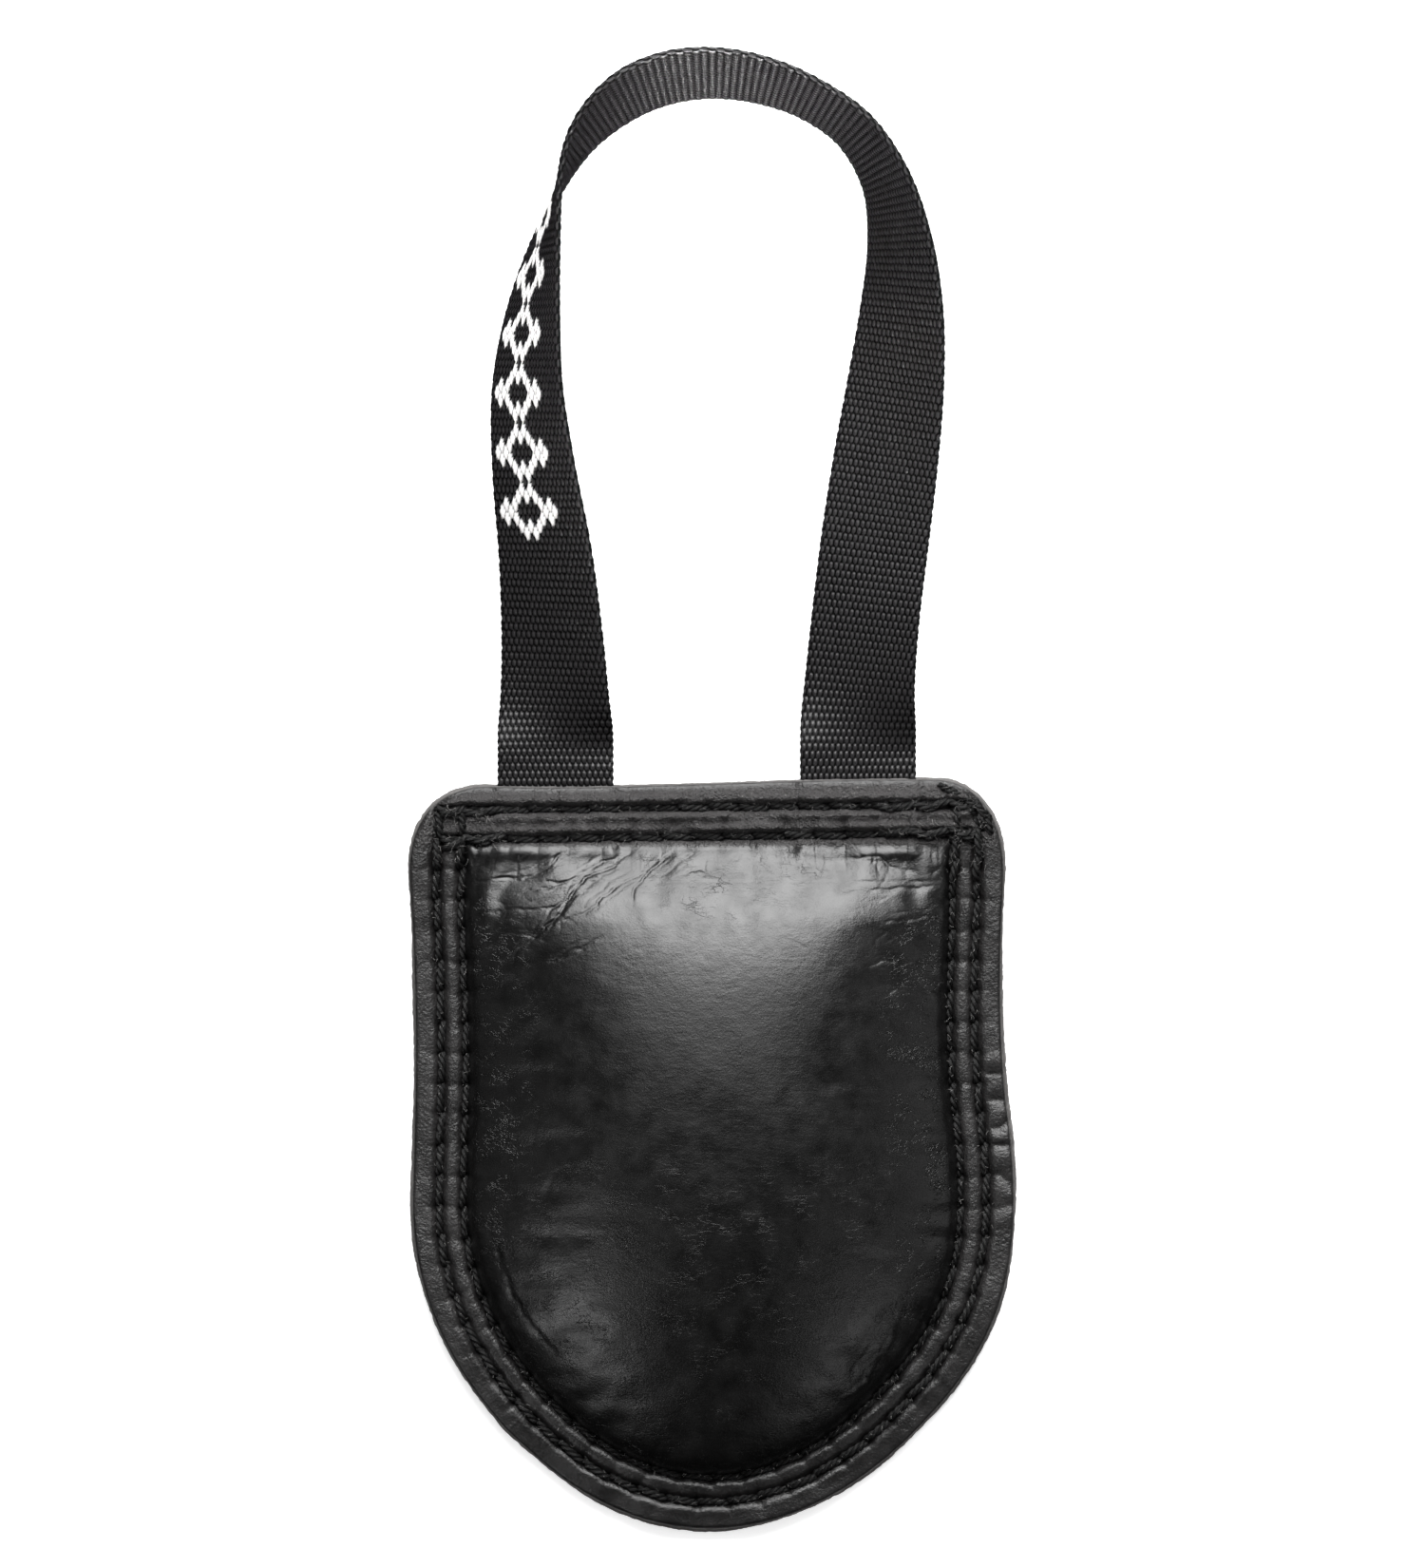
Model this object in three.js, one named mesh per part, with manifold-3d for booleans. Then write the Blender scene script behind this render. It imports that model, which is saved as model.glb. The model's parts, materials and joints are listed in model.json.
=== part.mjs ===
// A padded leather hand grip with a webbing wrist loop, lying on its back.
//
// Millimetres, +Z up. The origin is on the flat of the pad's back, midway along the pad.
// X runs across the pad, and Y along it towards the wrist loop.
//
// Two leather panels are sewn together round a pad of foam. The front panel is moulded over the foam and the
// back panel is dished to take it, so their shared flange stands clear of the surface and the lower threads
// don't carry the grip. The two ends of one strip of webbing are sewn between the panels at the top edge.
import * as THREE from 'three';
import { LoftGeometry } from 'three/addons/geometries/LoftGeometry.js';
import { mergeVertices } from 'three/addons/utils/BufferGeometryUtils.js';
import Module from 'manifold-3d';

const wasm = await Module();
wasm.setup();

// ---- Driving dimensions -------------------------------------------------------------------------------

const LEATHER = 1.6; // thickness of each panel
const WEBBING_WIDTH = 20;
const WEBBING = 1.3; // thickness of the webbing
const THREAD = 1.3; // diameter of the sewing thread
const AIR = 0.1; // between pieces that touch
const FOAM_RISE = 15; // height of the crown above the flange

const HALF_WIDTH = 52; // of the pad
const HALF_LENGTH = 65.5;

const DISH_TOP_INSET = 10; // from the pad's edge, where the back panel starts down to its flat
const DISH_FLAT_INSET = 16; // where it reaches the flat
const CROWN_FOOT_INSET = 10.2; // where the front panel starts up from the flange
const CROWN_TOP_INSET = 47; // where it is at its highest
const WALL_INSET = 1.2; // the front panel's thickness measured level, on its steep side

const HINGE_Y = 70; // the loop folds about this line, just outside the top edge
const HINGE_GAP = 1.3; // from that line to the webbing on either side of it
const STRAP_X = [-26.7, 26.3]; // centres of the two ends of the webbing
const STRAP_END_Y = 52.5; // how far the ends reach into the pad

const SIDE_ROW_INSETS = { outer: 4.6, inner: 9 };
const SIDE_ROW_STRAIGHT_Y = 44; // above this the side rows run straight up
const SIDE_ROW_TOP_Y = { outer: 59.6, inner: 53.9 };
const TOP_ROWS = {
  outer: { left: [-47.8, 60.7], right: [47.5, 61.5] },
  inner: { left: [-46, 55], right: [45.8, 56.2] },
};

const POINTS_PER_CURVE = 9; // of the outline
const THREAD_SIDES = 8;

// ---- Heights that follow ------------------------------------------------------------------------------

const FLANGE_BOTTOM = THREAD + 3 * AIR; // leaves room for the lower threads
const SEAM = FLANGE_BOTTOM + LEATHER; // top of the back panel at the flange
const FRONT_BOTTOM = SEAM + AIR;
const FLANGE_TOP = FRONT_BOTTOM + LEATHER;
const STRAP_Z = SEAM + AIR / 2; // the webbing is pressed equally into both panels

// ---- The pad's outline --------------------------------------------------------------------------------

// Clockwise from the left end of the top edge. The right side bellies out more than the left.
const outline = new THREE.Path();
outline.moveTo(-39, 64.3);
outline.bezierCurveTo(-13, 63.6, 15, 66, 40, 65.5); // top edge
outline.bezierCurveTo(47.6, 65.3, 52.4, 58.5, 51.7, 47); // right corner
outline.bezierCurveTo(51, 34, 50.9, 22, 52.1, 10);
outline.bezierCurveTo(55.5, -15, 53.5, -29, 40.5, -44); // right side
outline.bezierCurveTo(20.5, -67.4, -8, -75.5, -34, -49.5); // foot
outline.bezierCurveTo(-45.5, -38, -51.6, -24, -51.7, -9);
outline.bezierCurveTo(-51.4, 8, -50.5, 22, -52.2, 48); // left side
outline.bezierCurveTo(-52.8, 58, -48, 64, -39, 64.3); // left corner
const outlinePoints = outline.getPoints(POINTS_PER_CURVE).slice(0, -1);

// The outline drawn in by a distance, at a height. It keeps the outline's shape, so its corners stay round.
function ring(inset, z) {
  const acrossScale = 1 - inset / HALF_WIDTH;
  const alongScale = 1 - inset / HALF_LENGTH;
  return outlinePoints.map((p) => new THREE.Vector3(p.x * acrossScale, p.y * alongScale, z));
}

// ---- Solids -------------------------------------------------------------------------------------------

// Sections run from the top of a piece to its bottom.
function closedLoft(sections) {
  return new LoftGeometry(sections, { capStart: true, capEnd: true });
}

function manifoldOf(geometry) {
  const bare = new THREE.BufferGeometry();
  bare.setAttribute('position', geometry.attributes.position);
  bare.setIndex(geometry.index);
  const merged = mergeVertices(bare, 1e-4);
  const mesh = new wasm.Mesh({
    numProp: 3,
    vertProperties: merged.attributes.position.array,
    triVerts: new Uint32Array(merged.index.array),
  });
  return new wasm.Manifold(mesh);
}

function geometryOf(manifold) {
  const mesh = manifold.getMesh();
  const geometry = new THREE.BufferGeometry();
  geometry.setAttribute('position', new THREE.BufferAttribute(mesh.vertProperties, 3));
  geometry.setIndex(new THREE.BufferAttribute(mesh.triVerts, 1));
  geometry.computeVertexNormals();
  return geometry;
}

function cutAway(geometry, tools) {
  const left = tools.reduce((solid, tool) => solid.subtract(manifoldOf(tool)), manifoldOf(geometry));
  return geometryOf(left);
}

// ---- Leather and foam ---------------------------------------------------------------------------------

// Share of the crown's height, from 0 at its foot to 1 at its top: steep at the seam and nearly flat on top.
function crown(share) {
  return (1 - (1 - share) ** 3) ** 0.8;
}

// The crown's surface, from its top down to its foot.
function crownRings(footInset, baseZ) {
  const shares = [1, 0.75, 0.5, 0.3, 0.16, 0.08, 0.03, 0];
  const reach = CROWN_TOP_INSET - CROWN_FOOT_INSET;
  return shares.map((share) => ring(footInset + share * reach, baseZ + FOAM_RISE * crown(share)));
}

// The dish's surface, from the flange down to the flat.
function dishRings(flangeZ, topInset = DISH_TOP_INSET) {
  const steps = 4;
  return Array.from({ length: steps + 1 }, (_, i) => {
    const drop = FLANGE_BOTTOM * THREE.MathUtils.smoothstep(i / steps, 0, 1);
    return ring(THREE.MathUtils.lerp(topInset, DISH_FLAT_INSET, i / steps), flangeZ - drop);
  });
}

// The room that each end of the webbing takes between the panels.
function strapPockets() {
  const length = HINGE_Y - STRAP_END_Y + 2 * AIR;
  return STRAP_X.map((x) => {
    const pocket = new THREE.BoxGeometry(WEBBING_WIDTH + 2 * AIR, length, WEBBING + 2 * AIR);
    return pocket.translate(x, STRAP_END_Y - 2 * AIR + length / 2, STRAP_Z);
  });
}

function frontPanel() {
  const outside = crownRings(CROWN_FOOT_INSET, FLANGE_TOP);
  const block = closedLoft([...outside, ring(0, FLANGE_TOP), ring(0, FRONT_BOTTOM)]);
  const inside = crownRings(CROWN_FOOT_INSET + WALL_INSET, FRONT_BOTTOM);
  const hollow = closedLoft([...inside, ring(CROWN_FOOT_INSET + WALL_INSET, 0)]);
  return cutAway(block, [hollow, ...strapPockets()]);
}

function backPanel() {
  const block = closedLoft([ring(0, SEAM), ring(0, FLANGE_BOTTOM), ...dishRings(FLANGE_BOTTOM)]);
  const hollow = closedLoft([ring(DISH_TOP_INSET, FRONT_BOTTOM), ...dishRings(SEAM)]);
  return cutAway(block, [hollow, ...strapPockets()]);
}

// The foam fills the hollow between the panels.
function padding() {
  const edgeInset = CROWN_FOOT_INSET + WALL_INSET + AIR;
  const top = crownRings(edgeInset, FRONT_BOTTOM - AIR);
  const block = closedLoft([...top, ...dishRings(SEAM + AIR, edgeInset)]);
  return cutAway(block, strapPockets());
}

// ---- Thread -------------------------------------------------------------------------------------------

// One thread along a row, as a plain tube.
function threadAlong(points) {
  const route = new THREE.CatmullRomCurve3(points);
  const section = new THREE.Shape(
    new THREE.Path().absarc(0, 0, THREAD / 2, 0, 2 * Math.PI).getSpacedPoints(THREAD_SIDES).slice(0, -1),
  );
  return new THREE.ExtrudeGeometry(section, {
    extrudePath: route,
    steps: Math.max(8, Math.round(route.getLength() / (4 * THREAD))),
    curveSegments: 1,
  });
}

// A side row comes down one side of the pad, round its foot and up the other side.
function sideRow(which, z) {
  const bend = ring(SIDE_ROW_INSETS[which], z).filter((p) => p.y < SIDE_ROW_STRAIGHT_Y);
  const top = (p) => new THREE.Vector3(p.x, SIDE_ROW_TOP_Y[which], z);
  return threadAlong([top(bend[0]), ...bend, top(bend.at(-1))]);
}

function topRow(which, z) {
  const { left, right } = TOP_ROWS[which];
  return threadAlong([new THREE.Vector3(...left, z), new THREE.Vector3(...right, z)]);
}

// ---- Webbing ------------------------------------------------------------------------------------------

// The loop's route and roll. Each station is x, y and z of the webbing's middle, then its roll in degrees:
// 0 lies flat as it leaves the left end, 90 stands on edge, and 180 lies flat on its other face.
const LOOP_STATIONS = [
  [STRAP_X[0], HINGE_Y + HINGE_GAP, STRAP_Z, 0],
  [-26.8, 79, 4.2, 19],
  [-27.2, 90, 5.9, 29],
  [-28.4, 105, 8.8, 37],
  [-30.4, 120, 11.6, 45],
  [-31.5, 134, 13.2, 53],
  [-30.6, 147, 13, 63],
  [-28.6, 159, 12, 76],
  [-26, 169, 11, 90],
  [-21.8, 178, 10.4, 103],
  [-15.2, 184.5, 10, 111],
  [-7.6, 188, 9.8, 113],
  [1, 189, 9.8, 112],
  [10, 187.6, 9.9, 110],
  [18.4, 184.2, 9.9, 108],
  [26, 178.6, 9.8, 109],
  [31.4, 169.5, 9.7, 113],
  [33.7, 158.5, 9, 123],
  [33.9, 147, 7.9, 135],
  [32.9, 135, 6.7, 145],
  [31.2, 122, 5.9, 153],
  [29.3, 108, 5.2, 157],
  [27.6, 94, 4.9, 157],
  [26.5, 81, 4.1, 162],
  [STRAP_X[1], HINGE_Y + HINGE_GAP, STRAP_Z, 180],
];

// The webbing's cross-section at a point: its width turned by the roll about the way it runs.
function webbingSection(centre, along, roll) {
  const level = new THREE.Vector3(along.y, -along.x, 0).normalize(); // towards the inside of the loop
  const upright = new THREE.Vector3().crossVectors(level, along).normalize();
  const across = level.clone().multiplyScalar(Math.cos(roll)).addScaledVector(upright, Math.sin(roll));
  const face = new THREE.Vector3().crossVectors(along, across);
  const at = (share, side) =>
    centre
      .clone()
      .addScaledVector(across, (share - 0.5) * WEBBING_WIDTH)
      .addScaledVector(face, (side * WEBBING) / 2);
  const shares = [0, 0.25, 0.5, 0.75, 1]; // enough points across for the twisted faces to stay parallel
  return [...shares.map((share) => at(share, -1)), ...shares.toReversed().map((share) => at(share, 1))];
}

function strapLoop() {
  const route = new THREE.CatmullRomCurve3(LOOP_STATIONS.map(([x, y, z]) => new THREE.Vector3(x, y, z)));
  const rolls = new THREE.CatmullRomCurve3(LOOP_STATIONS.map((s) => new THREE.Vector3(s[3], 0, 0)));
  const steps = 3 * (LOOP_STATIONS.length - 1);
  const ends = new THREE.Vector3(0, 1, 0); // both ends lie square to the hinge line
  return closedLoft(
    Array.from({ length: steps + 1 }, (_, i) => {
      const t = i / steps;
      const roll = THREE.MathUtils.degToRad(rolls.getPoint(t).x);
      const along = i === 0 ? ends : i === steps ? ends.clone().negate() : route.getTangent(t);
      return webbingSection(route.getPoint(t), along, roll);
    }),
  );
}

function strapEnd(x) {
  const length = HINGE_Y - HINGE_GAP - STRAP_END_Y;
  return new THREE.BoxGeometry(WEBBING_WIDTH, length, WEBBING).translate(x, STRAP_END_Y + length / 2, STRAP_Z);
}

// ---- The grip -----------------------------------------------------------------------------------------

const leather = new THREE.MeshStandardMaterial({ color: 0x1b1a1b, roughness: 0.42, metalness: 0 });
const rawLeather = new THREE.MeshStandardMaterial({ color: 0x222122, roughness: 0.7, metalness: 0 });
const foam = new THREE.MeshStandardMaterial({ color: 0x5a5a58, roughness: 0.95, metalness: 0 });
const webbing = new THREE.MeshStandardMaterial({ color: 0x1c1b1d, roughness: 0.75, metalness: 0 });
const thread = new THREE.MeshStandardMaterial({ color: 0x151516, roughness: 0.6, metalness: 0 });

const grip = new THREE.Group();

function add(name, geometry, material) {
  const mesh = new THREE.Mesh(geometry, material);
  mesh.name = name;
  grip.add(mesh);
}

add('front_panel', frontPanel(), leather);
add('back_panel', backPanel(), rawLeather);
add('padding', padding(), foam);
add('strap_end_left', strapEnd(STRAP_X[0]), webbing);
add('strap_end_right', strapEnd(STRAP_X[1]), webbing);
add('strap_loop', strapLoop(), webbing);

const threadHeights = {
  needle: FLANGE_TOP + AIR + THREAD / 2,
  bobbin: FLANGE_BOTTOM - AIR - THREAD / 2,
};
for (const [side, z] of Object.entries(threadHeights)) {
  for (const which of ['outer', 'inner']) {
    add(`${side}_thread_side_${which}`, sideRow(which, z), thread);
    add(`${side}_thread_top_${which}`, topRow(which, z), thread);
  }
}

export default grip;
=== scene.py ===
import json
import math

import bpy
import numpy as np
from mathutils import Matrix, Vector
from mathutils.bvhtree import BVHTree
from mathutils.geometry import delaunay_2d_cdt


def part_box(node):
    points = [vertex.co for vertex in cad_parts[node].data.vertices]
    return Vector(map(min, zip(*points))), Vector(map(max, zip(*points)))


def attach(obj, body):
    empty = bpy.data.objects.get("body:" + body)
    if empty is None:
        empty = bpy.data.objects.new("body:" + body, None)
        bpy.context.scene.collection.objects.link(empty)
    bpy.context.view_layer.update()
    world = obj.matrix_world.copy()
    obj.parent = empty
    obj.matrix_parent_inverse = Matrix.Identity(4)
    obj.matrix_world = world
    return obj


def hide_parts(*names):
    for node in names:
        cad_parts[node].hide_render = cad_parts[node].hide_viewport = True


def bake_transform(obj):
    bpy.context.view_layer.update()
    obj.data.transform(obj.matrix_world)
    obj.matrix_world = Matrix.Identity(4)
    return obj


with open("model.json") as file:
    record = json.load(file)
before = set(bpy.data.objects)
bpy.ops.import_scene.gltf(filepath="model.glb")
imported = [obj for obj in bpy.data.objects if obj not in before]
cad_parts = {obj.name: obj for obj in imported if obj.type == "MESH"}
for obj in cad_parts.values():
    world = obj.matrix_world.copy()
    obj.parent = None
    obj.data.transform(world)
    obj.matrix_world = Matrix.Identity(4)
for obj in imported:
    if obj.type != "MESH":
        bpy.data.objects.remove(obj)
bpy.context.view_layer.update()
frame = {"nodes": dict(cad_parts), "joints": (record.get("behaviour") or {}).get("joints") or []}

# A padded leather hand grip with a webbing wrist loop, lying on its back and seen from straight above.
# Shapes are worked out in millimetres in the frame's axes, and become metres when their mesh is made.
MM = 0.001  # in metres, Blender's unit

# ---- Driving sizes, in millimetres ----

LEATHER = 1.5
STITCH = 5.4  # from hole to hole
THREAD_RADIUS = 0.7
WEBBING_WIDTH = 20.0
WEBBING = 1.3
PICK = 1.3  # from one row of the weave to the next
DOME_HEIGHT = 14.9  # of the padded front above its flange
FOOT_HEIGHT = 1.7  # of the part that rises steeply from the seam
OUTLINE_STEP = 0.42  # between the outline's points
ROW_STEP = 0.4  # between a row's points
SHEET_STEP = 2.2  # between the points of the cloth, and of the foam
HIDDEN_STEP = 2.4  # between the points of a face that nothing shows
FLANGE_WIDTH = 10.5
SIDE_ROW_INSETS = {"outer": 4.6, "inner": 9.0}
SIDE_ROW_STRAIGHT_Y = 44.0  # above this the side rows run straight up
SIDE_ROW_TOP_Y = {"outer": 60.6, "inner": 55.4}
TOP_ROWS = {
    "outer": ((-47.3, 60.2), (47.6, 61.2)),
    "inner": ((-45.8, 55.0), (45.6, 56.2)),
}


def box_mm(node):
    low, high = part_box(node)
    return np.array(low) / MM, np.array(high) / MM


AIR = 0.1  # between pieces that touch
FLANGE_TOP = box_mm("needle_thread_side_outer")[0][2] - AIR
FRONT_BOTTOM = box_mm("front_panel")[0][2]
BACK_FLANGE_BOTTOM = box_mm("bobbin_thread_side_outer")[1][2] + AIR
STRAP_X = [(box_mm(n)[0][0] + box_mm(n)[1][0]) / 2 for n in ("strap_end_left", "strap_end_right")]
STRAP_Z = (box_mm("strap_end_left")[0][2] + box_mm("strap_end_left")[1][2]) / 2
STRAP_END_Y = box_mm("strap_end_left")[0][1]
HINGE_Y = frame["joints"][0]["pos_m"][1] / MM
HALF_SIZE = np.array([52.0, 65.5])  # the pad's half width and half length, for drawing its outline in

# ---- Numbers ----


def smoothstep(low, high, x):
    t = np.clip((x - low) / (high - low), 0, 1)
    return t * t * (3 - 2 * t)


def bell(x, width):
    return np.exp(-((x / width) ** 2))


def noise(xy, cell, seed):
    """Smooth noise from -1 to 1, with bumps about one cell across."""
    grid = np.random.default_rng(seed).uniform(-1, 1, (97, 97))
    scaled = np.asarray(xy, float) / cell
    corner = np.floor(scaled).astype(int)
    f = scaled - corner
    f = f * f * f * (f * (f * 6 - 15) + 10)
    i, j = corner[..., 0] % 97, corner[..., 1] % 97
    i2, j2 = (i + 1) % 97, (j + 1) % 97
    low = grid[i, j] * (1 - f[..., 0]) + grid[i2, j] * f[..., 0]
    high = grid[i, j2] * (1 - f[..., 0]) + grid[i2, j2] * f[..., 0]
    return low * (1 - f[..., 1]) + high * f[..., 1]


def noise_at(x, y, cell, seed):
    return noise(np.stack([x, y], axis=-1), cell, seed)


def rough_noise(xy, cell, seed, octaves=3):
    layers = [noise(xy, cell / 2**k, seed + k) / 2**k for k in range(octaves)]
    return sum(layers) / sum(1 / 2**k for k in range(octaves))


# ---- Lines ----


def catmull(points, steps, closed=False):
    """A smooth line through the points, with this many steps from each to the next."""
    p = np.asarray(points, float)
    if closed:
        padded = np.concatenate([p[-1:], p, p[:2]])
    else:
        padded = np.concatenate([2 * p[:1] - p[1:2], p, 2 * p[-1:] - p[-2:-1]])
    t = np.linspace(0, 1, steps, endpoint=False)[:, None]
    pieces = []
    for k in range(len(padded) - 3):
        a, b, c, d = padded[k : k + 4]
        bent = 2 * b + (c - a) * t + (2 * a - 5 * b + 4 * c - d) * t**2
        pieces.append(0.5 * (bent + (3 * b - a - 3 * c + d) * t**3))
    if not closed:
        pieces.append(p[-1:])
    return np.concatenate(pieces)


def unit(vectors):
    return vectors / np.linalg.norm(vectors, axis=1)[:, None]


def lengths(line):
    steps = np.linalg.norm(np.diff(line, axis=0), axis=1)
    return np.concatenate([[0], np.cumsum(steps)])


def points_at(line, along, at):
    """The line's points at these distances, where along is how far each of its own points lies."""
    return np.stack([np.interp(at, along, values) for values in line.T], axis=1)


def resample(line, spacing, closed=False):
    """The line's points at equal steps of about this spacing. A closed line doesn't repeat its start."""
    if closed:
        line = np.concatenate([line, line[:1]])
    along = lengths(line)
    count = max(2, round(along[-1] / spacing))
    at = np.linspace(0, along[-1], count, endpoint=not closed)
    return points_at(line, along, at)


def nearest(xy, line, closed=False, reach=None):
    """How far each point is from the line, how far along it that is, and on which side: +1 to its left.
    The line's points are close together. Points further off than reach keep a distance of 1000."""
    if closed:
        line = np.concatenate([line, line[:1]])
    along = lengths(line)
    step = np.diff(line, axis=0)
    square = (step**2).sum(1)
    last = len(step) - 1
    distance = np.full(len(xy), 1000.0)
    where = np.zeros(len(xy))
    side = np.ones(len(xy))
    near = np.arange(len(xy))
    if reach is not None:
        near = near[(xy > line.min(0) - reach).all(1) & (xy < line.max(0) + reach).all(1)]
    for start in range(0, len(near), 4000):
        chosen = near[start : start + 4000]
        k = ((line**2).sum(1) - 2 * xy[chosen] @ line.T).argmin(1)
        before = (k - 1) % (last + 1) if closed else np.maximum(k - 1, 0)
        after = k % (last + 1) if closed else np.minimum(k, last)
        for segment in (before, after):
            to, way = xy[chosen] - line[segment], step[segment]
            t = np.clip((to * way).sum(1) / square[segment], 0, 1)
            far = np.linalg.norm(to - t[:, None] * way, axis=1)
            better = far < distance[chosen]
            found, segment, t = chosen[better], segment[better], t[better]
            distance[found] = far[better]
            where[found] = along[segment] + t * np.sqrt(square[segment])
            turn = way[better, 0] * to[better, 1] - way[better, 1] * to[better, 0]
            side[found] = np.where(turn >= 0, 1, -1)
    return distance, where, side


# ---- The pad's outline and its rows of stitches ----


def pad_outline():
    """The CAD flange's outline, counterclockwise from the middle of the top edge."""
    mesh = frame["nodes"]["front_panel"].data
    co = np.array([v.co for v in mesh.vertices]) / MM
    level = np.unique(np.round(co[np.abs(co[:, 2] - FLANGE_TOP) < 0.02][:, :2], 3), axis=0)
    turn = np.linspace(0, 2 * np.pi, 360, endpoint=False)
    reach = level @ np.stack([np.cos(turn), np.sin(turn)])
    edge = level[(reach.max(0) - reach).min(1) < 3]
    from_top = (np.arctan2(edge[:, 1], edge[:, 0]) - np.pi / 2) % (2 * np.pi)
    return resample(catmull(edge[np.argsort(from_top)], 12, closed=True), OUTLINE_STEP, closed=True)


OUTLINE = pad_outline()


def ring(inset):
    return OUTLINE * (1 - inset / HALF_SIZE)


def inset_in(outline, xy):
    """How far each point is from the outline."""
    return nearest(xy, outline, closed=True)[0]


def side_row(which):
    """Down the left side, round the foot and up the right side."""
    bend = ring(SIDE_ROW_INSETS[which])
    bend = bend[bend[:, 1] < SIDE_ROW_STRAIGHT_Y]
    top = SIDE_ROW_TOP_Y[which]
    ends = [[bend[0, 0], top]], [[bend[-1, 0], top]]
    return resample(np.concatenate([ends[0], bend, ends[1]]), ROW_STEP)


ROWS = {
    "side_outer": side_row("outer"),
    "side_inner": side_row("inner"),
    "top_outer": resample(np.array(TOP_ROWS["outer"]), ROW_STEP),
    "top_inner": resample(np.array(TOP_ROWS["inner"]), ROW_STEP),
}


def stitch_count(row):
    return round(lengths(row)[-1] / STITCH)


def seam_loop():
    """The closed line that the dome rises from: the inner side row, closed by the inner top row."""
    side = ROWS["side_inner"]
    side = side[side[:, 1] < TOP_ROWS["inner"][0][1] - 0.5]
    return resample(np.concatenate([side, side[:1]]), ROW_STEP, closed=True)


SEAM = seam_loop()

# ---- Meshes ----


def add_object(name, data):
    thing = bpy.data.objects.new(name, data)
    bpy.context.scene.collection.objects.link(thing)
    return thing


def mesh_object(name, points, faces):
    mesh = bpy.data.meshes.new(name)
    mesh.from_pydata(points, [], faces)
    return add_object(name, mesh)


def make_piece(name, points, faces, attributes=None, uvs=None):
    """A smooth-shaded mesh object from points in millimetres."""
    piece = mesh_object(name, (np.asarray(points) * MM).tolist(), [list(map(int, f)) for f in faces])
    mesh = piece.data
    mesh.shade_smooth()
    for key, values in (attributes or {}).items():
        layer = mesh.attributes.new(key, "FLOAT", "POINT")
        layer.data.foreach_set("value", np.asarray(values, np.float32))
    if uvs is not None:
        layer = mesh.uv_layers.new(name="UVMap")
        corner = np.zeros(len(mesh.loops), np.int32)
        mesh.loops.foreach_get("vertex_index", corner)
        layer.data.foreach_set("uv", np.asarray(uvs, np.float32)[corner].ravel())
    return piece


def triangulate(boundary, inner):
    """Triangles over the boundary and the inner points, as indices into the two lists end to end."""
    points = np.concatenate([boundary, inner])
    loop = list(range(len(boundary)))
    _, _, faces, came_from, _, _ = delaunay_2d_cdt([tuple(p) for p in points], [], [loop], 1, 1e-6)
    source = [c[0] for c in came_from]
    return points, np.array([[source[i] for i in f] for f in faces])


def wall(first, second, count):
    """Faces between two rings of points, from the index of each ring's first point."""
    one = np.arange(count)
    two = (one + 1) % count
    return np.stack([first + one, second + one, second + two, first + two], axis=1)


def hexagonal_grid(spacing):
    low, high = OUTLINE.min(0), OUTLINE.max(0)
    x = np.arange(low[0], high[0], spacing)
    y = np.arange(low[1], high[1], spacing * math.sqrt(3) / 2)
    grid = np.stack(np.meshgrid(x, y), axis=-1)
    grid[1::2, :, 0] += spacing / 2
    return grid.reshape(-1, 2)


def inner_points(outline, spacing, gap=0.6):
    """A grid of points inside the outline. The gap is what it keeps from the outline, in spacings."""
    grid = hexagonal_grid(spacing)
    inset, _, side = nearest(grid, outline, closed=True)
    return grid[(side > 0) & (inset > gap * spacing)]


# ---- The dome ----


def seam_sheet():
    """A flat sheet inside the seam, of even triangles. Its first points are those on the seam."""
    boundary = resample(SEAM, SHEET_STEP, closed=True)
    points, faces = triangulate(boundary, inner_points(SEAM, SHEET_STEP, 1.5 / SHEET_STEP))
    return points, faces, len(boundary)


RELAXING_STEPS = 3000
CLOTH_SCALE = 10  # times its real size
CLOTH_FRAMES = 24


def padded_height(faces, count, on_seam):
    """The padding's even rounding, from 0 at the seam to 1 at its top: how a membrane would settle."""
    first = np.concatenate([faces[:, 0], faces[:, 1], faces[:, 2]])
    second = np.concatenate([faces[:, 1], faces[:, 2], faces[:, 0]])
    neighbours = np.bincount(first, minlength=count)
    height = np.zeros(count)
    for _ in range(RELAXING_STEPS):
        height = np.bincount(first, weights=height[second], minlength=count) / neighbours + 1
        height[:on_seam] = 0
    return (height / height.max()) ** 0.8


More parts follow.
